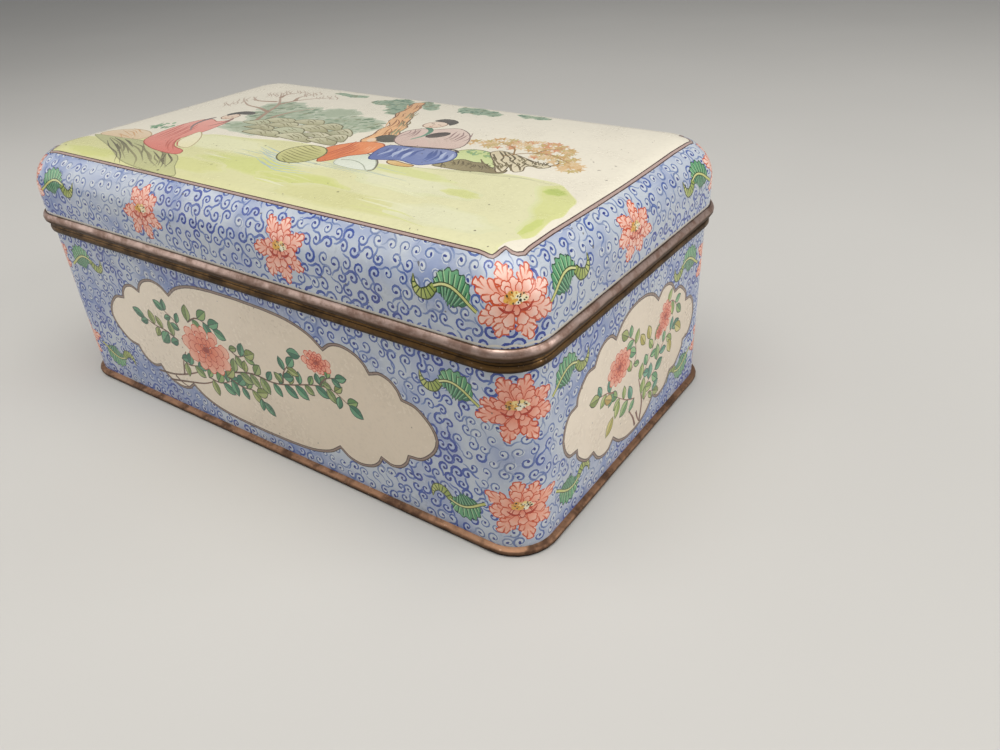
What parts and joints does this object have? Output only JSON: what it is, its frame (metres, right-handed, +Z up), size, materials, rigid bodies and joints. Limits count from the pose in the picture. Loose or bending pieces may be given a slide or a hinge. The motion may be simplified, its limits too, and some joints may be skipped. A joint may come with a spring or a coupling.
{
  "type": "lidded trinket box",
  "caption": "Rectangular lidded box with rounded corners, painted scroll-ground sides, lobed flower panels and a domed picture lid, for trinkets or cards.",
  "frame": {"origin": "centre of the underside of the foot rim, on the surface the box stands on", "axes": "+Z up, X along the long sides, -Y towards the long side with the wide flower panel seen in the picture, +X towards the short side seen in the picture"},
  "size_m": [0.1782, 0.1048, 0.0762],
  "materials": {
    "scroll_enamel": "glossy painted enamel on copper, blue scrolls and flowers on a pale ground, cream inside",
    "lid_enamel": "glossy painted enamel on copper, a cream picture panel above blue scrolls",
    "copper_foot": "worn brown copper with rubbed gilding",
    "dark_brass": "dark aged brass, bright where rubbed",
    "worn_gilding": "worn pinkish gilding over copper, dark olive-brown underneath"
  },
  "bodies": {
    "root": {"box_body": "scroll_enamel", "foot_rim": "copper_foot", "mouth_rim": "dark_brass", "lid": "lid_enamel", "lid_rim": "worn_gilding"}
  },
  "joints": []
}
